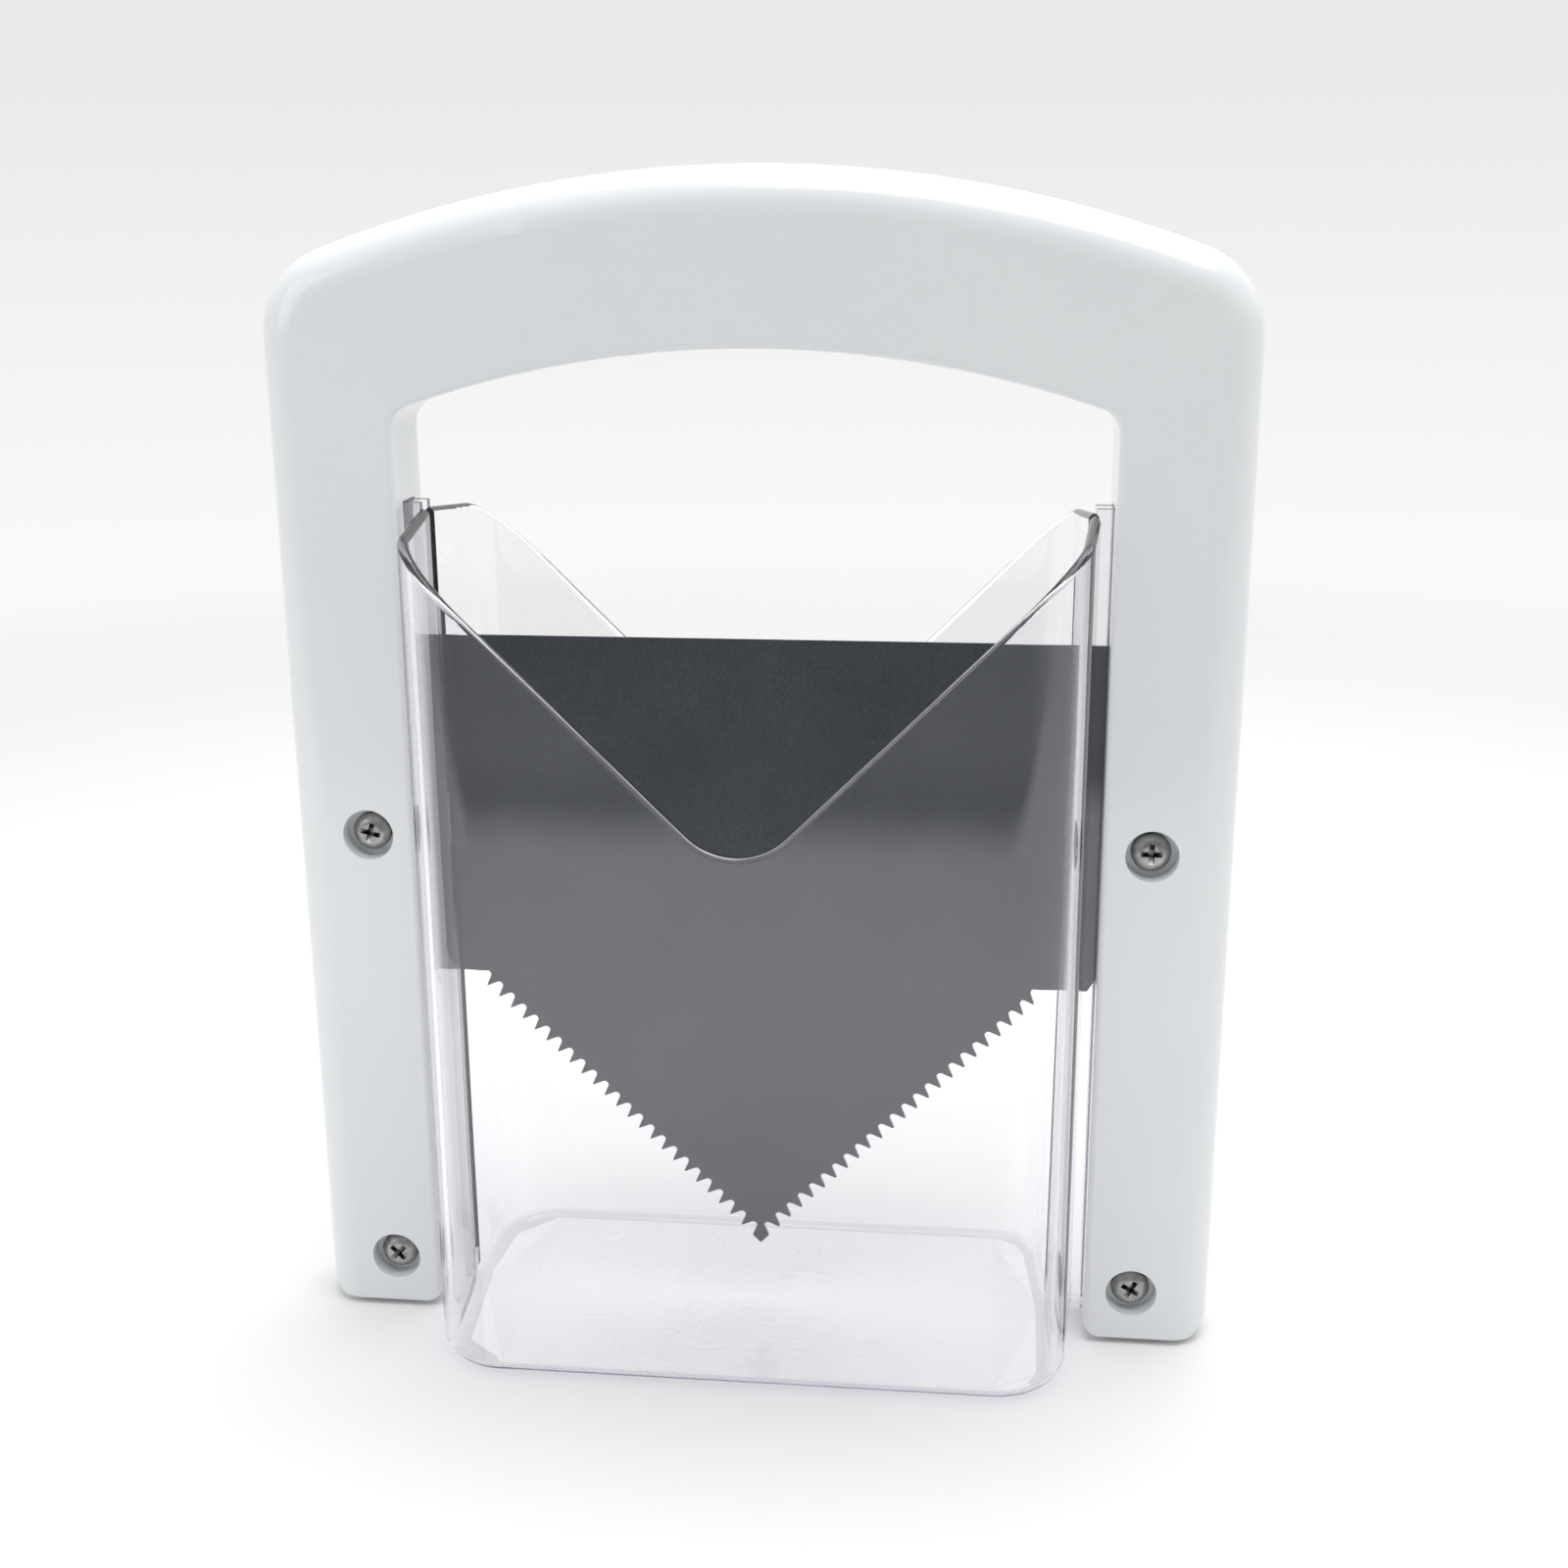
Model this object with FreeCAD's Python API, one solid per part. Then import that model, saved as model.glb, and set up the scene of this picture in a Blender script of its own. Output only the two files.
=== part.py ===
import FreeCAD, Part
import math
import os

# Bagel guillotine: a clear holder stands on the table and a white arch handle with a V-shaped
# serrated blade slides up and down over it.  Millimetres, +Z up, front of the object at -Y,
# the blade lies in the plane Y = 0.

Vec = FreeCAD.Vector

# ---- handle (two moulded halves meeting at Y = 0) ----
HANDLE_HALF_WIDTH = 85.5     # outer side of each leg
HANDLE_HALF_DEPTH = 8.5      # front or rear face from the parting plane
LEG_INNER_X = 62.0           # inner side face of each leg
LEG_BOTTOM_Z = 1.0           # legs end just above the table when the handle is down
GRIP_TOP_Z = 213.9           # top of the arch
GRIP_UNDER_Z = 184.0         # underside of the arch at the centre
GRIP_TOP_RADIUS = 217.0
GRIP_UNDER_RADIUS = 185.0
SHOULDER_RADIUS = 15.5
INNER_CORNER_RADIUS = 4.5
OUTER_ROUNDING = 7.5         # palm side of the section is almost a half round
INNER_ROUNDING = 1.2
FOOT_OUTER_RADIUS = 6.0
FOOT_INNER_RADIUS = 3.5
FOOT_EDGE_ROUNDING = 0.6
FOOT_CREASE = 0.05
SHELL_WALL = 2.4
RAIL_GROOVE_HALF = 3.6       # half width of the groove in the inner side of each leg
RAIL_GROOVE_END_X = 66.6
GROOVE_TOP_Z = 157.4         # closed end of the groove, which stops the handle on the rails
RIB_X = 67.4                 # rib closing the groove
RIB_WIDTH = 1.6
RIB_TOP_Z = 166.0

# ---- blade ----
BLADE_THICKNESS = 0.8
BLADE_TOP_Z = 132.9
BLADE_SHOULDER_Z = 68.2      # straight lower edge at both ends
BLADE_HALF_LENGTH = 77.5
BLADE_NECK_X = 60.7          # where the lower edge rises into the legs
BLADE_TAB_X = 66.0
BLADE_TAB_Z = 77.0
TOOTH_PITCH = 3.092
TOOTH_COUNT = 23             # gullets along each side of the V, below the first one
TIP_CORNER_X = 1.48
TIP_CORNER_Z = 15.0
TIP_END_Z = 13.5
GULLET_DEPTH = 2.35
GULLET_RADIUS = 0.75
GULLET_FLANK = math.radians(22.0)
BLADE_SCREW_HOLE = 3.6

# ---- screws ----
SCREW_X = 70.65
SCREW_UPPER_Z = 97.0
SCREW_LOWER_Z = 10.8
COUNTERBORE_DIAMETER = 9.4
HEAD_DIAMETER = 7.0
HEAD_HEIGHT = 2.3
HEAD_SINK = 1.2              # top of the head below the front face
SHANK_DIAMETER = 3.0
SHANK_HOLE = 3.2
SHANK_END_Y = 5.6
SHANK_END_GAP = 0.4
SCREW_HEAD_Y = HEAD_SINK - HANDLE_HALF_DEPTH
SCREW_SEAT_Y = SCREW_HEAD_Y + HEAD_HEIGHT
BOSS_DIAMETER = 12.6
CROSS_WIDTH = 0.95
CROSS_SPAN = 3.8
CROSS_DEPTH = 1.5
HEAD_FLAT = 3.2              # flat middle of the domed head
HEAD_DOME = (2.75, 0.42)     # a point of the dome: radius, depth below the flat
HEAD_RIM = 0.9               # straight side of the head
SHANK_POINT = 1.2            # length of the tapered point
SHANK_POINT_RADIUS = 0.5

# ---- holder ----
HOLDER_HALF_WIDTH = 60.1     # at the slots; the side walls lean in towards the corners
HOLDER_SIDE_SLANT = 0.1      # mm inwards per mm of depth
HOLDER_SIDE_ROUNDING = 30.0
HOLDER_HALF_DEPTH = 31.2
HOLDER_WALL = 2.0
HOLDER_CORNER = 13.0
HOLDER_FLOOR = 2.4
HOLDER_FOOT_ROUNDING = 4.8
HOLDER_FLOOR_ROUNDING = 0.8
NOTCH_APEX_Z = 97.1          # where the straight sides of the V would meet
NOTCH_ROUNDING = 12.0
RIM_ROUNDING = 0.9
RAIL_TOP_Z = 157.1
SLOT_HALF = 1.4
SLOT_BOTTOM_Z = 8.0
RAIL_THICKNESS = 1.8
RAIL_END_X = 66.0
RAIL_BOTTOM_Z = 4.0

# ---- working values ----
TINY = 1e-3                  # two points closer than this are the same
SPARE = 1.0                  # how far a cutting block runs past the face it cuts
BEYOND = 100.0               # past every face of the object in X and Y
LEG_SPARE = 15.0             # the legs are made this much too long and cut off


def face_xz(segments, y):
    """Face in the plane Y = y from a list of point tuples: 2 points = line, 3 points = arc."""
    edges = []
    for seg in segments:
        pts = [Vec(p[0], y, p[1]) for p in seg]
        if len(pts) == 2:
            edges.append(Part.makeLine(pts[0], pts[1]))
        else:
            edges.append(Part.Arc(pts[0], pts[1], pts[2]).toShape())
    return Part.Face(Part.Wire(edges))


def box(x0, x1, y0, y1, z0, z1):
    return Part.makeBox(x1 - x0, y1 - y0, z1 - z0, Vec(x0, y0, z0))


def cyl_y(x, z, diameter, y0, y1):
    return Part.makeCylinder(diameter / 2.0, y1 - y0, Vec(x, y0, z), Vec(0, 1, 0))


def mirror_x(shape):
    return shape.mirror(Vec(0, 0, 0), Vec(1, 0, 0))


def mirror_y(shape):
    return shape.mirror(Vec(0, 0, 0), Vec(0, 1, 0))


def arc_z(x, top_z, radius):
    """Height of an arch of the given radius and crown height at x."""
    return top_z - radius + math.sqrt(radius * radius - x * x)


def edges_where(shape, test):
    """Edges of the shape for which test(edge, middle point) is true."""
    found = []
    for edge in shape.Edges:
        mid = edge.valueAt((edge.FirstParameter + edge.LastParameter) / 2.0)
        if test(edge, mid):
            found.append(edge)
    return found


def is_along_y(edge):
    a = edge.Vertexes[0].Point
    b = edge.Vertexes[-1].Point
    return abs(a.x - b.x) < TINY and abs(a.z - b.z) < TINY and abs(a.y - b.y) > TINY


def is_upright(edge):
    return abs(edge.Vertexes[0].Z - edge.Vertexes[-1].Z) > SPARE


def lies_at_y(edge, mid, y):
    return abs(mid.y - y) < TINY and all(abs(v.Y - y) < TINY for v in edge.Vertexes)


def foot_waste(x, z, radius, side):
    """Material removed to round the bottom corner at (x, z); side = +1 when the leg lies at smaller x.
    The arc meets the side and the bottom at a slight angle, so that the corner ends in clean edges."""
    cx = x - side * (radius - FOOT_CREASE)
    cz = z + radius - FOOT_CREASE
    x0, x1 = sorted((cx, x + side * SPARE))
    return box(x0, x1, -BEYOND, BEYOND, z - SPARE, cz).cut(cyl_y(cx, cz, 2 * radius, -BEYOND, BEYOND))


def handle_solid(inset):
    """Front half of the handle, moved inwards by inset: two legs joined by an arch."""
    half_width = HANDLE_HALF_WIDTH - inset
    inner_x = LEG_INNER_X + inset
    top_z = GRIP_TOP_Z - inset
    under_z = GRIP_UNDER_Z + inset
    foot_z = LEG_BOTTOM_Z + inset
    front_y = inset - HANDLE_HALF_DEPTH
    low = foot_z - LEG_SPARE
    zo = arc_z(half_width, top_z, GRIP_TOP_RADIUS - inset)
    zi = arc_z(inner_x, under_z, GRIP_UNDER_RADIUS + inset)
    block = face_xz([
        ((half_width, low), (half_width, zo)),
        ((half_width, zo), (0, top_z), (-half_width, zo)),
        ((-half_width, zo), (-half_width, low)),
        ((-half_width, low), (-inner_x, low)),
        ((-inner_x, low), (-inner_x, zi)),
        ((-inner_x, zi), (0, under_z), (inner_x, zi)),
        ((inner_x, zi), (inner_x, low)),
        ((inner_x, low), (half_width, low)),
    ], front_y).extrude(Vec(0, -front_y, 0))
    mid_x = (half_width + inner_x) / 2.0
    mid_z = (top_z + under_z) / 2.0

    def is_corner(edge, mid, outer):
        return is_along_y(edge) and mid.z > low + SPARE and (abs(mid.x) > mid_x) == outer

    def is_rim(edge, mid, outer):
        beyond = abs(mid.x) > mid_x or mid.z > mid_z
        return lies_at_y(edge, mid, front_y) and mid.z > low + SPARE and beyond == outer

    shoulders = edges_where(block, lambda e, m: is_corner(e, m, True))
    block = block.makeFillet(SHOULDER_RADIUS - inset, shoulders)
    inner_corners = edges_where(block, lambda e, m: is_corner(e, m, False))
    block = block.makeFillet(INNER_CORNER_RADIUS - inset, inner_corners)
    palm = edges_where(block, lambda e, m: is_rim(e, m, True))
    block = block.makeFillet(OUTER_ROUNDING - inset, palm)
    if inset < INNER_ROUNDING:
        finger = edges_where(block, lambda e, m: is_rim(e, m, False))
        block = block.makeFillet(INNER_ROUNDING - inset, finger)
    block = block.cut(box(-BEYOND, BEYOND, -BEYOND, BEYOND, low - SPARE, foot_z))
    for side in (-1, 1):
        block = block.cut(foot_waste(side * half_width, foot_z, FOOT_OUTER_RADIUS - inset, side))
        block = block.cut(foot_waste(side * inner_x, foot_z, FOOT_INNER_RADIUS - inset, -side))
    return block


def handle_blank():
    """Front half of the handle, outside shape only, with the front edges of its feet eased."""
    blank = handle_solid(0.0)
    near_foot = LEG_BOTTOM_Z + FOOT_INNER_RADIUS
    rims = edges_where(blank, lambda e, m: abs(m.y + HANDLE_HALF_DEPTH) < TINY and m.z < near_foot)
    return blank.makeFillet(FOOT_EDGE_ROUNDING, rims)


def screw_places():
    return [("screw_upper_left", -SCREW_X, SCREW_UPPER_Z, 15.0),
            ("screw_upper_right", SCREW_X, SCREW_UPPER_Z, 0.0),
            ("screw_lower_left", -SCREW_X, SCREW_LOWER_Z, 45.0),
            ("screw_lower_right", SCREW_X, SCREW_LOWER_Z, 28.0)]


def handle_half(front):
    """One half of the handle; the rear half is built at the front and mirrored."""
    blank = handle_blank()
    body = blank.cut(handle_solid(SHELL_WALL))
    inside_y = SHELL_WALL / 2.0 - HANDLE_HALF_DEPTH
    half_blade = BLADE_THICKNESS / 2.0
    extras = []
    for side in (-1, 1):
        x0, x1 = sorted((side * RIB_X, side * (RIB_X + RIB_WIDTH)))
        extras.append(box(x0, x1, inside_y, -half_blade, LEG_BOTTOM_Z + SHELL_WALL / 2.0, RIB_TOP_Z))
    for name, x, z, turn in screw_places():
        end = -half_blade if z == SCREW_UPPER_Z else 0.0
        extras.append(cyl_y(x, z, BOSS_DIAMETER, inside_y, end))
    for extra in extras:
        body = body.fuse(extra.common(blank))
    for side in (-1, 1):
        x0, x1 = sorted((side * (LEG_INNER_X - SPARE), side * RAIL_GROOVE_END_X))
        body = body.cut(box(x0, x1, -RAIL_GROOVE_HALF, SPARE, LEG_BOTTOM_Z - SPARE, GROOVE_TOP_Z))
    for name, x, z, turn in screw_places():
        if front:
            body = body.cut(cyl_y(x, z, COUNTERBORE_DIAMETER, -BEYOND, SCREW_SEAT_Y))
            body = body.cut(cyl_y(x, z, SHANK_HOLE, SCREW_SEAT_Y - SPARE, SPARE))
        else:
            body = body.cut(cyl_y(x, z, SHANK_HOLE, -SHANK_END_Y - SHANK_END_GAP, SPARE))
    body = body.removeSplitter()
    return body if front else mirror_y(body)


def gullet_points(i):
    """Corner points and arc of gullet i on the right side of the V, from the lower tooth upwards."""
    s = math.sqrt(0.5)
    # unit vectors: along the edge upwards and into the blade
    along = (s, s)
    inward = (-s, s)
    mid = (TIP_CORNER_X + (i + 0.5) * TOOTH_PITCH * s, TIP_CORNER_Z + (i + 0.5) * TOOTH_PITCH * s)
    centre_depth = GULLET_DEPTH - GULLET_RADIUS
    sin_f = math.sin(GULLET_FLANK)
    cos_f = math.cos(GULLET_FLANK)
    mouth = (GULLET_RADIUS + centre_depth * sin_f) / cos_f

    def at(u, v):
        return (mid[0] + u * along[0] + v * inward[0], mid[1] + u * along[1] + v * inward[1])

    touch_u = GULLET_RADIUS * cos_f
    touch_v = centre_depth + GULLET_RADIUS * sin_f
    return at(-mouth, 0), at(-touch_u, touch_v), at(0, GULLET_DEPTH), at(touch_u, touch_v), at(mouth, 0)


def blade_plate():
    """Right half outline with teeth, mirrored to the left, cut from a flat plate."""
    segs = [((0, BLADE_TOP_Z), (BLADE_HALF_LENGTH, BLADE_TOP_Z)),
            ((BLADE_HALF_LENGTH, BLADE_TOP_Z), (BLADE_HALF_LENGTH, BLADE_TAB_Z)),
            ((BLADE_HALF_LENGTH, BLADE_TAB_Z), (BLADE_TAB_X, BLADE_TAB_Z)),
            ((BLADE_TAB_X, BLADE_TAB_Z), (BLADE_NECK_X, BLADE_SHOULDER_Z))]
    here = (BLADE_NECK_X, BLADE_SHOULDER_Z)
    for i in range(TOOTH_COUNT, -1, -1):
        low, flank_low, deep, flank_high, high = gullet_points(i)
        if i == TOOTH_COUNT:
            # the straight lower edge runs into the upper flank of the first gullet
            t = (BLADE_SHOULDER_Z - high[1]) / (flank_high[1] - high[1])
            high = (high[0] + t * (flank_high[0] - high[0]), BLADE_SHOULDER_Z)
        segs.append((here, high))
        segs.append((high, flank_high))
        segs.append((flank_high, deep, flank_low))
        segs.append((flank_low, low))
        here = low
    segs.append((here, (TIP_CORNER_X, TIP_CORNER_Z)))
    segs.append(((TIP_CORNER_X, TIP_CORNER_Z), (0, TIP_END_Z)))
    segs.append(((0, TIP_END_Z), (0, BLADE_TOP_Z)))
    segs = [s for s in segs if math.dist(s[0], s[-1]) > 1e-6]
    half = face_xz(segs, -BLADE_THICKNESS / 2.0).extrude(Vec(0, BLADE_THICKNESS, 0))
    plate = half.fuse(mirror_x(half)).removeSplitter()
    for side in (-1, 1):
        plate = plate.cut(cyl_y(side * SCREW_X, SCREW_UPPER_Z, BLADE_SCREW_HOLE, -2, 2))
    return plate


def plan_prism(inset, z0, z1):
    """Six-sided plan of the holder, moved inwards by inset, with rounded vertical edges."""
    lean = math.sqrt(1.0 + HOLDER_SIDE_SLANT * HOLDER_SIDE_SLANT)
    wide = HOLDER_HALF_WIDTH - inset * lean
    deep = HOLDER_HALF_DEPTH - inset
    narrow = wide - HOLDER_SIDE_SLANT * deep
    pts = [(wide, 0), (narrow, deep), (-narrow, deep), (-wide, 0), (-narrow, -deep), (narrow, -deep)]
    outline = Part.makePolygon([Vec(x, y, z0) for x, y in pts + pts[:1]])
    block = Part.Face(outline).extrude(Vec(0, 0, z1 - z0))
    corners = edges_where(block, lambda e, m: is_upright(e) and abs(m.y) > SPARE)
    block = block.makeFillet(HOLDER_CORNER - inset, corners)
    sides = edges_where(block, lambda e, m: is_upright(e) and abs(m.y) < TINY)
    return block.makeFillet(HOLDER_SIDE_ROUNDING - inset, sides)


def notch_block():
    """V notch with a rounded bottom, cut through the front and rear walls."""
    touch_x = NOTCH_ROUNDING * math.sqrt(0.5)
    touch_z = NOTCH_APEX_Z + touch_x
    low_z = NOTCH_APEX_Z + NOTCH_ROUNDING * (math.sqrt(2.0) - 1.0)
    end_z = NOTCH_APEX_Z + BEYOND
    face = face_xz([
        ((touch_x, touch_z), (BEYOND, end_z)),
        ((BEYOND, end_z), (-BEYOND, end_z)),
        ((-BEYOND, end_z), (-touch_x, touch_z)),
        ((-touch_x, touch_z), (0, low_z), (touch_x, touch_z)),
    ], -BEYOND)
    return face.extrude(Vec(0, 2 * BEYOND, 0))


def notch_edges(shape):
    """Edges of the holder that lie on the straight or round part of the V notch."""
    centre_z = NOTCH_APEX_Z + NOTCH_ROUNDING * math.sqrt(2.0)

    def on_notch(p):
        straight = abs(p.z - NOTCH_APEX_Z - abs(p.x)) < TINY
        rounded = abs(math.hypot(p.x, p.z - centre_z) - NOTCH_ROUNDING) < TINY
        return straight or rounded

    def test(edge, mid):
        return abs(mid.y) > SLOT_HALF and on_notch(mid) and all(on_notch(v.Point) for v in edge.Vertexes)
    return edges_where(shape, test)


def rail_flanges(side):
    """The two upright flanges beside the slot of one side wall."""
    x0, x1 = sorted((side * (HOLDER_HALF_WIDTH - 0.5 * HOLDER_WALL), side * RAIL_END_X))
    flanges = []
    for face in (-1, 1):
        y0, y1 = sorted((face * SLOT_HALF, face * (SLOT_HALF + RAIL_THICKNESS)))
        flanges.append(box(x0, x1, y0, y1, RAIL_BOTTOM_Z, RAIL_TOP_Z))
    return flanges


def holder_shell():
    """Open-topped box with V notches, and a slot between two rail flanges in each side wall."""
    top = RAIL_TOP_Z + SPARE
    outer = plan_prism(0.0, 0.0, top)
    outer = outer.makeFillet(HOLDER_FOOT_ROUNDING, edges_where(outer, lambda e, m: abs(m.z) < TINY))
    inner = plan_prism(HOLDER_WALL, HOLDER_FLOOR, top + SPARE)
    floor_rim = edges_where(inner, lambda e, m: abs(m.z - HOLDER_FLOOR) < TINY)
    inner = inner.makeFillet(HOLDER_FLOOR_ROUNDING, floor_rim)
    shell = outer.cut(inner).cut(notch_block())
    shell = shell.makeFillet(RIM_ROUNDING, notch_edges(shell))
    shell = shell.cut(box(-BEYOND, BEYOND, -BEYOND, BEYOND, RAIL_TOP_Z, top + SPARE))
    for side in (-1, 1):
        for flange in rail_flanges(side):
            shell = shell.fuse(flange)
        x0, x1 = sorted((side * (HOLDER_HALF_WIDTH - HOLDER_WALL - SPARE), side * (RAIL_END_X + SPARE)))
        shell = shell.cut(box(x0, x1, -SLOT_HALF, SLOT_HALF, SLOT_BOTTOM_Z, top))
    return shell.removeSplitter()


def screw(x, z, turn):
    """Pan head tapping screw along Y with a cross recess turned by the given angle."""
    top_y = SCREW_HEAD_Y
    r = HEAD_DIAMETER / 2.0
    neck = SHANK_DIAMETER / 2.0
    flat_end = Vec(HEAD_FLAT / 2.0, top_y, 0)
    dome = Vec(HEAD_DOME[0], top_y + HEAD_DOME[1], 0)
    rim = Vec(r, SCREW_SEAT_Y - HEAD_RIM, 0)
    pts = [Vec(r, SCREW_SEAT_Y, 0), Vec(neck, SCREW_SEAT_Y, 0), Vec(neck, SHANK_END_Y - SHANK_POINT, 0),
           Vec(SHANK_POINT_RADIUS, SHANK_END_Y, 0), Vec(0, SHANK_END_Y, 0), Vec(0, top_y, 0), flat_end]
    outline = [Part.Arc(flat_end, dome, rim).toShape()]
    for a, b in zip([rim] + pts, pts):
        outline.append(Part.makeLine(a, b))
    body = Part.Face(Part.Wire(outline)).revolve(Vec(0, 0, 0), Vec(0, 1, 0), 360)
    span = CROSS_SPAN / 2.0
    half = CROSS_WIDTH / 2.0
    out_y = top_y - SPARE
    deep_y = top_y + CROSS_DEPTH
    wing_pts = [(-span, out_y), (span, out_y), (span, top_y), (half, deep_y), (-half, deep_y), (-span, top_y)]
    for angle in (0.0, 90.0):
        # tapered slot: full span at the top, narrowing to the middle
        polygon = Part.makePolygon([Vec(px, py, -half) for px, py in wing_pts + wing_pts[:1]])
        wing = Part.Face(polygon).extrude(Vec(0, 0, CROSS_WIDTH))
        wing.rotate(Vec(0, 0, 0), Vec(0, 1, 0), angle)
        body = body.cut(wing)
    body.rotate(Vec(0, 0, 0), Vec(0, 1, 0), turn)
    body.translate(Vec(x, 0, z))
    return body


def write(name, shape):
    if not shape.isValid():
        raise ValueError("bad solid: " + name)
    shape.exportStep("parts/" + name + ".step")
    print(name, "solids", len(shape.Solids), "volume", round(shape.Volume, 1), shape.BoundBox)


os.makedirs("parts", exist_ok=True)
write("holder", holder_shell())
write("handle_front", handle_half(True))
write("handle_rear", handle_half(False))
write("blade", blade_plate())
for screw_name, screw_x, screw_z, screw_turn in screw_places():
    write(screw_name, screw(screw_x, screw_z, screw_turn))
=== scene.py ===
import math

import bmesh
import bpy
from mathutils import Matrix, Vector


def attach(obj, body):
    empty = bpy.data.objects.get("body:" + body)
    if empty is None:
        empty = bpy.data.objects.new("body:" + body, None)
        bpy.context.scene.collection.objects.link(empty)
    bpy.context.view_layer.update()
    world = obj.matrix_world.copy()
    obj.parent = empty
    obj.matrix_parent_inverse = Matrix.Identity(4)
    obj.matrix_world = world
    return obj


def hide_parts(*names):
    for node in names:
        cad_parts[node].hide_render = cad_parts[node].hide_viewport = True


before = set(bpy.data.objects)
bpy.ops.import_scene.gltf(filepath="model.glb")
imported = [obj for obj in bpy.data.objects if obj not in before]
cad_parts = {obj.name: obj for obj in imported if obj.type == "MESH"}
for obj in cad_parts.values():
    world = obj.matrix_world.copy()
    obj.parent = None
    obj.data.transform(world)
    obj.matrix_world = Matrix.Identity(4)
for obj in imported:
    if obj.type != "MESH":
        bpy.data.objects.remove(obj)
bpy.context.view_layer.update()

# Looks of the bagel guillotine: glossy white handle, coated blade, clear holder, plated screws.
# Metres, +Z up, the same frame as the CAD model; the front of the object is at -Y.

# ---- camera ----
CAMERA_AZIMUTH = math.radians(6.05)
CAMERA_ELEVATION = math.radians(15.6)
CAMERA_ROLL = math.radians(-0.30)
CAMERA_DISTANCE = 0.3427
CAMERA_TARGET = Vector((0.0054, 0.0, 0.1115))
SENSOR_WIDTH = 36.0
LENS = 43.5
SHIFT_X = -0.0016
SHIFT_Y = -0.018

# ---- floor ----
FLOOR_HALF = 1.6
FLOOR_FADE_START = 0.44      # the paper fades out into the background
FLOOR_FADE_END = 0.92
FLOOR_FRONT_START = 0.32     # and ends in front of the object
FLOOR_FRONT_END = 0.40
FLOOR_SHADE = 0.84           # paper round the object
FLOOR_FRONT_PAINTED_LIGHT = 0.97     # painted light: paper painted paler in front, to make up for the dim room lighting it less
# where the paper turns from its tone round the object to the painted-light paler front
FLOOR_PAINTED_LIGHT_START = 0.04
FLOOR_PAINTED_LIGHT_END = 0.16

# ---- surroundings: brightness by height, 0 straight down and 1 straight up ----
AROUND = [(0.38, 0.99), (0.46, 0.91), (0.535, 0.82), (0.64, 0.84), (0.76, 0.76), (1.0, 0.80)]
ROOM = [(0.355, 0.17), (0.37, 0.36), (0.50, 0.32), (0.60, 0.25), (0.75, 0.30), (1.0, 0.80)]
ROOM_REACH = [(0.05, 1.0), (0.36, 0.0)]      # share of the room, 0 straight ahead in front, 1 behind

# ---- lamps: name, place, width, depth, watts; all aim at LAMP_AIM ----
LAMP_AIM = Vector((0.0, 0.0, 0.1))
LAMPS = (
    ("overhead_softbox", (0.10, 0.03, 0.80), 0.8, 0.6, 5.2),
    ("left_softbox", (-0.50, -0.36, 0.36), 0.35, 0.35, 0.6),
)

# ---- clear plastic ----
HAZE = 0.014                 # share of light scattered at each face
CLEAR_PASS = 0.94            # share of shadow and bounced light that each face lets straight through
SHARP_ANGLE = math.radians(24.0)     # edges that turn more than this stay sharp
WELD_DISTANCE = 0.000002
LIGHT_BOUNCES = 24           # enough for light to get out of the thick walls


def link(tree, out_socket, in_socket):
    tree.links.new(out_socket, in_socket)


def new_material(name):
    """Material with one Principled shader, and its node tree's parts."""
    mat = bpy.data.materials.new(name)
    mat.use_nodes = True
    tree = mat.node_tree
    tree.nodes.clear()
    out = tree.nodes.new("ShaderNodeOutputMaterial")
    bsdf = tree.nodes.new("ShaderNodeBsdfPrincipled")
    link(tree, bsdf.outputs["BSDF"], out.inputs["Surface"])
    return mat, tree, bsdf, out


def object_coords(tree):
    return tree.nodes.new("ShaderNodeTexCoord").outputs["Object"]


def noise(tree, vector, scale, detail=2.0, roughness=0.5, distortion=0.0):
    node = tree.nodes.new("ShaderNodeTexNoise")
    node.inputs["Scale"].default_value = scale
    node.inputs["Detail"].default_value = detail
    node.inputs["Roughness"].default_value = roughness
    node.inputs["Distortion"].default_value = distortion
    link(tree, vector, node.inputs["Vector"])
    return node.outputs["Fac"]


def ramp(tree, value, stops):
    """Colour ramp from (position, colour) stops; a colour may be a grey number."""
    node = tree.nodes.new("ShaderNodeValToRGB")
    elements = node.color_ramp.elements
    while len(elements) < len(stops):
        elements.new(0.5)
    for element, (position, colour) in zip(elements, stops):
        element.position = position
        grey = not isinstance(colour, tuple)
        element.color = (colour, colour, colour, 1.0) if grey else colour + (1.0,)
    link(tree, value, node.inputs["Fac"])
    return node.outputs["Color"]


def remap(tree, value, low, high):
    node = tree.nodes.new("ShaderNodeMapRange")
    node.inputs["To Min"].default_value = low
    node.inputs["To Max"].default_value = high
    link(tree, value, node.inputs["Value"])
    return node.outputs["Result"]


def unit_range(tree, value):
    """-1..1 to 0..1."""
    node = tree.nodes.new("ShaderNodeMapRange")
    node.inputs["From Min"].default_value = -1.0
    link(tree, value, node.inputs["Value"])
    return node.outputs["Result"]


def math_node(tree, operation, a, b):
    node = tree.nodes.new("ShaderNodeMath")
    node.operation = operation
    for socket, value in zip(node.inputs, (a, b)):
        if isinstance(value, (int, float)):
            socket.default_value = value
        else:
            link(tree, value, socket)
    return node.outputs["Value"]


def mix_colour(tree, blend, factor, a, b):
    node = tree.nodes.new("ShaderNodeMix")
    node.data_type = "RGBA"
    node.blend_type = blend
    # inputs 6 and 7 and output 2 are the colour ones
    for socket, value in zip((node.inputs["Factor"], node.inputs[6], node.inputs[7]), (factor, a, b)):
        if isinstance(value, (int, float)):
            socket.default_value = value
        else:
            link(tree, value, socket)
    return node.outputs[2]


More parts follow.
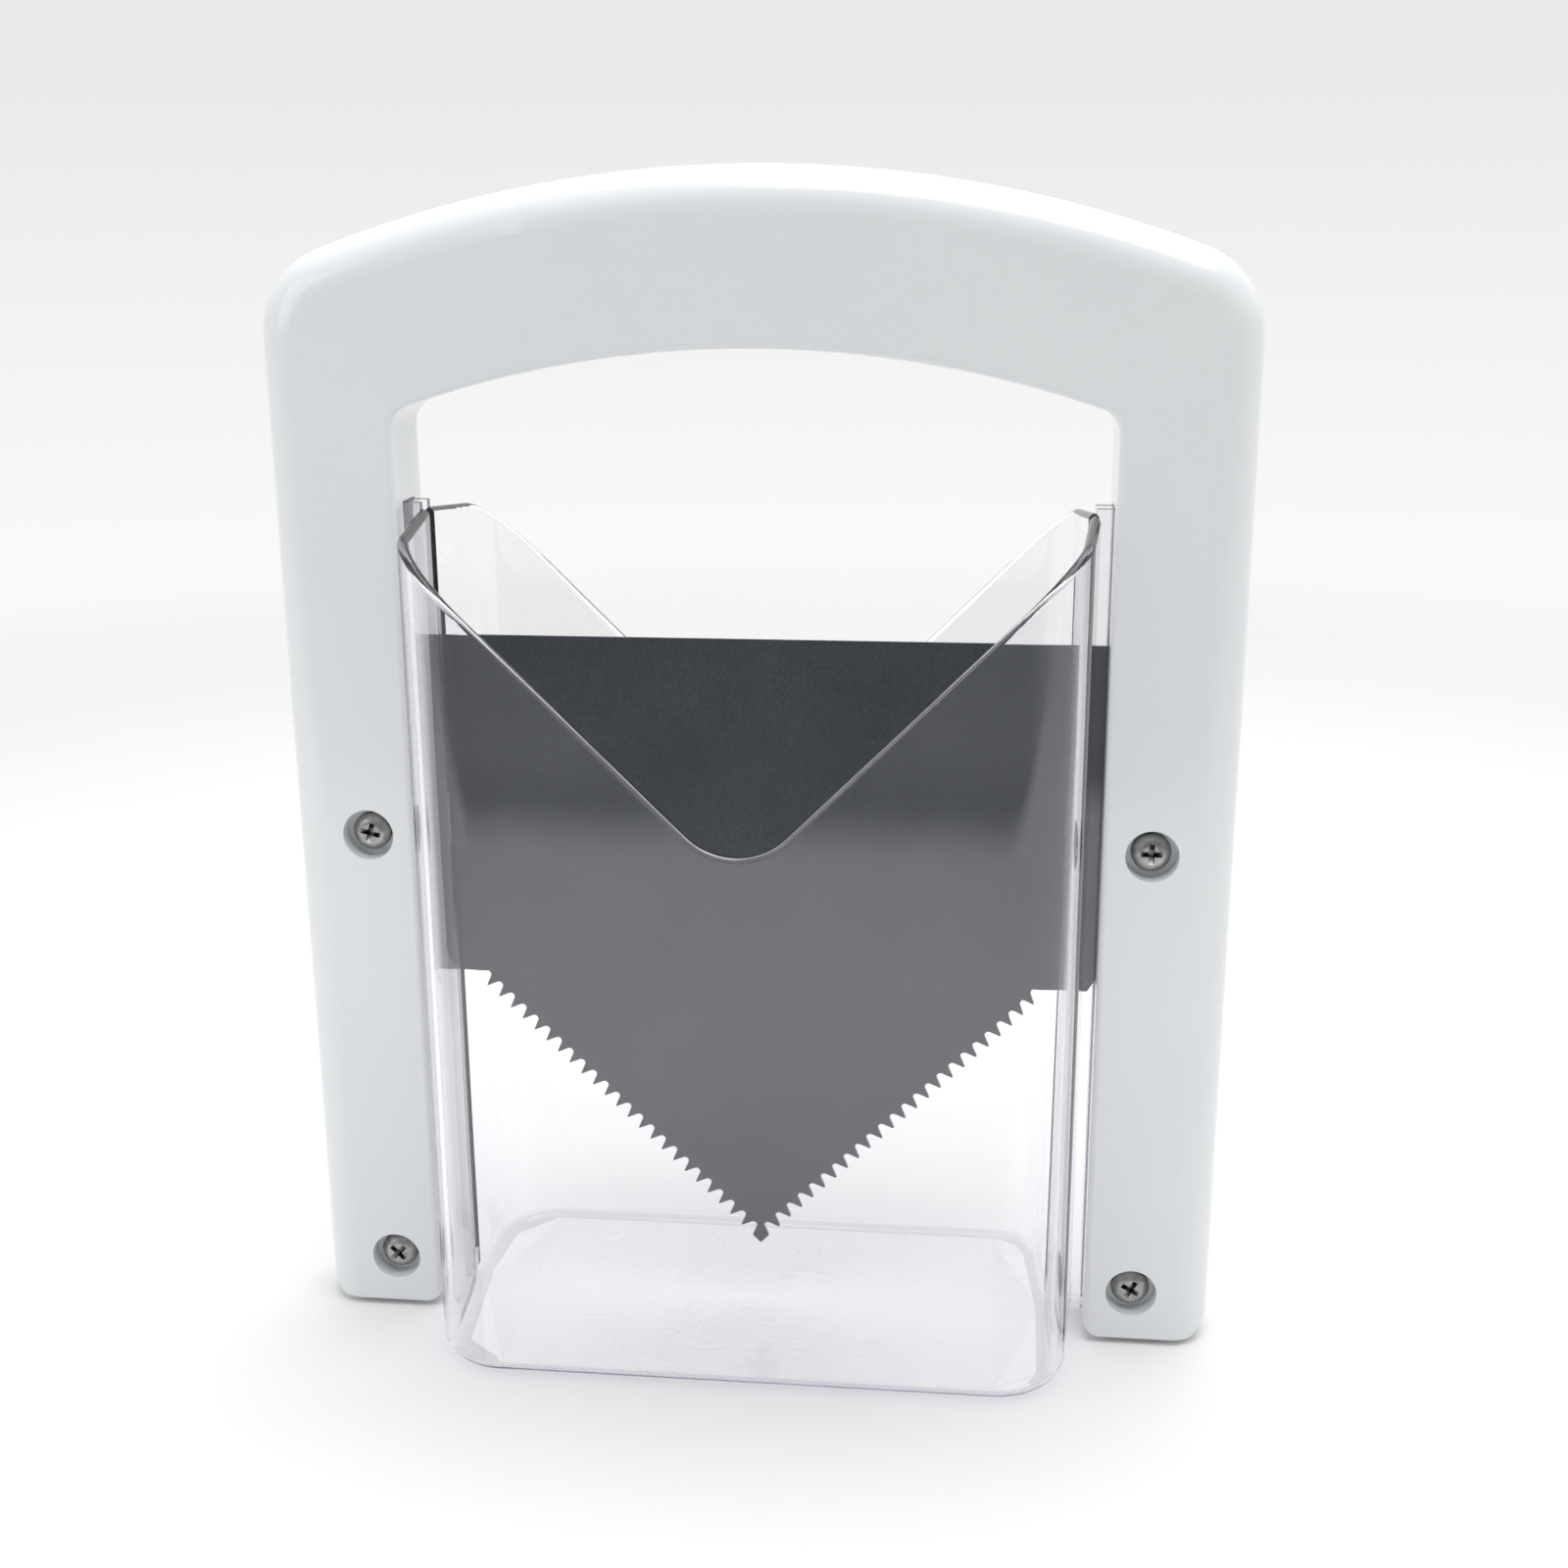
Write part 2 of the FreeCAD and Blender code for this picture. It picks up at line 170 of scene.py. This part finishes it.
def mix_shader(tree, factor, a, b):
    node = tree.nodes.new("ShaderNodeMixShader")
    if isinstance(factor, (int, float)):
        node.inputs[0].default_value = factor
    else:
        link(tree, factor, node.inputs[0])
    link(tree, a, node.inputs[1])
    link(tree, b, node.inputs[2])
    return node.outputs["Shader"]


def bump(tree, heights, bsdf, distance, strength=1.0):
    node = tree.nodes.new("ShaderNodeBump")
    node.inputs["Distance"].default_value = distance
    node.inputs["Strength"].default_value = strength
    link(tree, heights, node.inputs["Height"])
    link(tree, node.outputs["Normal"], bsdf.inputs["Normal"])


def stretched(tree, vector, scale):
    node = tree.nodes.new("ShaderNodeMapping")
    node.inputs["Scale"].default_value = scale
    link(tree, vector, node.inputs["Vector"])
    return node.outputs["Vector"]


# ---- materials ----
def white_plastic():
    """Glossy moulded ABS: slight shade drift, faint orange peel and sink marks."""
    mat, tree, bsdf, out = new_material("handle_white_gloss")
    place = object_coords(tree)
    drift = noise(tree, place, 14.0, 3.0)
    link(tree, ramp(tree, drift, [(0.3, (0.775, 0.800, 0.815)), (0.7, (0.800, 0.822, 0.835))]),
         bsdf.inputs["Base Color"])
    smears = noise(tree, place, 55.0, 4.0, 0.6, 0.8)
    link(tree, remap(tree, smears, 0.13, 0.24), bsdf.inputs["Roughness"])
    peel = noise(tree, place, 620.0, 2.0)
    sink = noise(tree, place, 60.0, 1.0)
    heights = math_node(tree, "ADD", math_node(tree, "MULTIPLY", peel, 0.12), sink)
    bump(tree, heights, bsdf, 0.00006)
    bsdf.inputs["IOR"].default_value = 1.5
    bsdf.inputs["Coat Weight"].default_value = 0.25
    bsdf.inputs["Coat Roughness"].default_value = 0.06
    return mat


def blade_coating():
    """Dark non-stick coating: fine mottled grain over a satin sheet, faint rolling streaks."""
    mat, tree, bsdf, out = new_material("blade_nonstick")
    place = object_coords(tree)
    grain = noise(tree, place, 1900.0, 3.0, 0.7)
    cloud = noise(tree, place, 38.0, 4.0, 0.6)
    mixed = math_node(tree, "ADD", math_node(tree, "MULTIPLY", grain, 0.65),
                      math_node(tree, "MULTIPLY", cloud, 0.35))
    link(tree, ramp(tree, mixed, [(0.30, (0.025, 0.031, 0.041)), (0.52, (0.042, 0.049, 0.060)),
                                  (0.75, (0.074, 0.083, 0.099))]), bsdf.inputs["Base Color"])
    streaks = noise(tree, stretched(tree, place, (30.0, 30.0, 900.0)), 1.0, 2.0)
    rough = math_node(tree, "ADD", remap(tree, grain, 0.24, 0.36), math_node(tree, "MULTIPLY", streaks, 0.05))
    link(tree, rough, bsdf.inputs["Roughness"])
    bump(tree, grain, bsdf, 0.000004)
    bsdf.inputs["Metallic"].default_value = 0.0
    bsdf.inputs["IOR"].default_value = 1.45
    return mat


def clear_plastic():
    """Clear moulded plastic: slightly wavy faces, a trace of haze, violet-grey along long paths inside."""
    mat, tree, bsdf, out = new_material("holder_clear")
    place = object_coords(tree)
    bsdf.inputs["Base Color"].default_value = (1.0, 1.0, 1.0, 1.0)
    bsdf.inputs["Transmission Weight"].default_value = 1.0
    bsdf.inputs["IOR"].default_value = 1.54
    wear = noise(tree, place, 90.0, 4.0, 0.65, 0.5)
    link(tree, remap(tree, wear, 0.0, 0.03), bsdf.inputs["Roughness"])
    flow = noise(tree, stretched(tree, place, (60.0, 60.0, 14.0)), 1.0, 1.0)
    bump(tree, flow, bsdf, 0.00012)
    haze = tree.nodes.new("ShaderNodeBsdfDiffuse")
    haze.inputs["Color"].default_value = (0.56, 0.555, 0.60, 1.0)
    hazed = mix_shader(tree, HAZE, bsdf.outputs["BSDF"], haze.outputs["BSDF"])
    clear = tree.nodes.new("ShaderNodeBsdfTransparent")
    clear.inputs["Color"].default_value = (CLEAR_PASS, CLEAR_PASS, CLEAR_PASS, 1.0)
    path = tree.nodes.new("ShaderNodeLightPath")
    soft = mix_shader(tree, path.outputs["Is Diffuse Ray"], hazed, clear.outputs["BSDF"])
    lamps = mix_shader(tree, path.outputs["Is Shadow Ray"], soft, clear.outputs["BSDF"])
    link(tree, lamps, out.inputs["Surface"])
    absorb = tree.nodes.new("ShaderNodeVolumeAbsorption")
    absorb.inputs["Color"].default_value = (0.67, 0.60, 0.85, 1.0)
    absorb.inputs["Density"].default_value = 20.0
    link(tree, absorb.outputs["Volume"], out.inputs["Volume"])
    return mat


def plated_steel():
    """Nickel-plated steel with fine turning marks, dulled patches and painted shade darkening the cross
    recess and other hollows.
    """
    mat, tree, bsdf, out = new_material("screw_nickel")
    place = object_coords(tree)
    patches = noise(tree, place, 900.0, 3.0, 0.6)
    metal = ramp(tree, patches, [(0.3, (0.28, 0.28, 0.28)), (0.7, (0.48, 0.48, 0.47))])
    # painted shade: ambient occlusion darkens the base colour in the cross recess and other hollows
    shade_occlusion = tree.nodes.new("ShaderNodeAmbientOcclusion")
    shade_occlusion.inputs["Distance"].default_value = 0.0016
    painted_recess_shade = ramp(tree, shade_occlusion.outputs["AO"], [(0.30, 0.06), (0.75, 1.0)])
    link(tree, mix_colour(tree, "MULTIPLY", 1.0, metal, painted_recess_shade), bsdf.inputs["Base Color"])
    link(tree, remap(tree, patches, 0.26, 0.44), bsdf.inputs["Roughness"])
    bump(tree, noise(tree, place, 3500.0, 2.0), bsdf, 0.000015)
    bsdf.inputs["Metallic"].default_value = 1.0
    return mat


def dress(nodes, mat):
    for name in nodes:
        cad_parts[name].material_slots[0].material = mat


def add_clear_holder(mat):
    """The holder with its seams welded, sharp corners kept and the shading of its flat faces even."""
    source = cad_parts["holder"]
    mesh = bpy.data.meshes.new("holder_clear_shell")
    corners = [source.matrix_world @ vertex.co for vertex in source.data.vertices]
    mesh.from_pydata(corners, [], [tuple(face.vertices) for face in source.data.polygons])
    shape = bmesh.new()
    shape.from_mesh(mesh)
    bmesh.ops.remove_doubles(shape, verts=shape.verts, dist=WELD_DISTANCE)
    for face in shape.faces:
        face.smooth = True
    for edge in shape.edges:
        edge.smooth = len(edge.link_faces) == 2 and edge.calc_face_angle(0.0) < SHARP_ANGLE
    shape.to_mesh(mesh)
    shape.free()
    mesh.materials.append(mat)
    piece = bpy.data.objects.new("holder_clear_shell", mesh)
    bpy.context.scene.collection.objects.link(piece)
    even = piece.modifiers.new("even_faces", "WEIGHTED_NORMAL")
    even.keep_sharp = True
    even.weight = 100
    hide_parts("holder")
    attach(piece, "holder_body")


# ---- stage ----
def falling(tree, value, start, end):
    """1 below start, easing to 0 at end."""
    node = tree.nodes.new("ShaderNodeMapRange")
    node.interpolation_type = "SMOOTHSTEP"
    node.inputs["From Min"].default_value = start
    node.inputs["From Max"].default_value = end
    node.inputs["To Min"].default_value = 1.0
    node.inputs["To Max"].default_value = 0.0
    link(tree, value, node.inputs["Value"])
    return node.outputs["Result"]


def add_floor():
    """Pale sheet, painted paler in front to stand in for the light the dim room gives less of, that fades out
    into the background and ends in front.
    """
    h = FLOOR_HALF
    mesh = bpy.data.meshes.new("floor")
    mesh.from_pydata([(-h, -h, 0.0), (h, -h, 0.0), (h, h, 0.0), (-h, h, 0.0)], [], [(0, 1, 2, 3)])
    floor = bpy.data.objects.new("floor", mesh)
    bpy.context.scene.collection.objects.link(floor)
    mat, tree, bsdf, out = new_material("floor_paper")
    place = object_coords(tree)
    parts = tree.nodes.new("ShaderNodeSeparateXYZ")
    link(tree, place, parts.inputs["Vector"])
    front_y = math_node(tree, "MULTIPLY", parts.outputs["Y"], -1.0)
    # painted light: the paper is painted paler in front of the object, where the dim room lights it less
    near_object = falling(tree, front_y, FLOOR_PAINTED_LIGHT_START, FLOOR_PAINTED_LIGHT_END)
    paper_and_painted_light = remap(tree, near_object, FLOOR_FRONT_PAINTED_LIGHT, FLOOR_SHADE)
    grain = remap(tree, noise(tree, place, 40.0, 4.0), 0.985, 1.0)
    link(tree, math_node(tree, "MULTIPLY", paper_and_painted_light, grain), bsdf.inputs["Base Color"])
    bsdf.inputs["Roughness"].default_value = 0.7
    bsdf.inputs["Specular IOR Level"].default_value = 0.15
    length = tree.nodes.new("ShaderNodeVectorMath")
    length.operation = "LENGTH"
    link(tree, place, length.inputs[0])
    around = falling(tree, length.outputs["Value"], FLOOR_FADE_START, FLOOR_FADE_END)
    front = falling(tree, front_y, FLOOR_FRONT_START, FLOOR_FRONT_END)
    link(tree, math_node(tree, "MULTIPLY", around, front), bsdf.inputs["Alpha"])
    mesh.materials.append(mat)


def add_background():
    """Near-white surroundings, brightest low down, with a dimmer room in front."""
    world = bpy.data.worlds.new("studio")
    world.use_nodes = True
    bpy.context.scene.world = world
    tree = world.node_tree
    tree.nodes.clear()
    out = tree.nodes.new("ShaderNodeOutputWorld")
    shade = tree.nodes.new("ShaderNodeBackground")
    link(tree, shade.outputs["Background"], out.inputs["Surface"])
    direction = tree.nodes.new("ShaderNodeTexCoord").outputs["Generated"]
    parts = tree.nodes.new("ShaderNodeSeparateXYZ")
    link(tree, direction, parts.inputs["Vector"])
    height = unit_range(tree, parts.outputs["Z"])
    depth = unit_range(tree, parts.outputs["Y"])
    around = ramp(tree, height, AROUND)
    room = ramp(tree, height, ROOM)
    is_room = ramp(tree, depth, ROOM_REACH)
    mixed = mix_colour(tree, "MIX", is_room, around, room)
    link(tree, mixed, shade.inputs["Color"])
    shade.inputs["Strength"].default_value = 1.0


def add_area(name, place, width, depth, power):
    light = bpy.data.lights.new(name, "AREA")
    light.shape = "RECTANGLE"
    light.size = width
    light.size_y = depth
    light.energy = power
    lamp = bpy.data.objects.new(name, light)
    lamp.location = place
    lamp.rotation_euler = (LAMP_AIM - Vector(place)).to_track_quat("-Z", "Y").to_euler()
    bpy.context.scene.collection.objects.link(lamp)


def add_camera():
    sin_a, cos_a = math.sin(CAMERA_AZIMUTH), math.cos(CAMERA_AZIMUTH)
    sin_e, cos_e = math.sin(CAMERA_ELEVATION), math.cos(CAMERA_ELEVATION)
    back = Vector((sin_a * cos_e, -cos_a * cos_e, sin_e))
    right = Vector((cos_a, sin_a, 0.0))
    up = back.cross(right)
    rolled_right = right * math.cos(CAMERA_ROLL) + up * math.sin(CAMERA_ROLL)
    rolled_up = up * math.cos(CAMERA_ROLL) - right * math.sin(CAMERA_ROLL)
    data = bpy.data.cameras.new("camera")
    data.sensor_width = SENSOR_WIDTH
    data.lens = LENS
    data.shift_x = SHIFT_X
    data.shift_y = SHIFT_Y
    data.clip_start = 0.01
    camera = bpy.data.objects.new("camera", data)
    turn = Matrix((rolled_right, rolled_up, back)).transposed().to_4x4()
    camera.matrix_world = Matrix.Translation(CAMERA_TARGET + back * CAMERA_DISTANCE) @ turn
    bpy.context.scene.collection.objects.link(camera)
    bpy.context.scene.camera = camera


add_camera()
bpy.context.scene.view_settings.view_transform = "Standard"
bpy.context.scene.cycles.max_bounces = LIGHT_BOUNCES
bpy.context.scene.cycles.transmission_bounces = LIGHT_BOUNCES
bpy.context.scene.cycles.transparent_max_bounces = LIGHT_BOUNCES
dress(("handle_front", "handle_rear"), white_plastic())
dress(("blade",), blade_coating())
add_clear_holder(clear_plastic())
dress([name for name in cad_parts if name.startswith("screw_")], plated_steel())
add_floor()
add_background()
for lamp in LAMPS:
    add_area(*lamp)
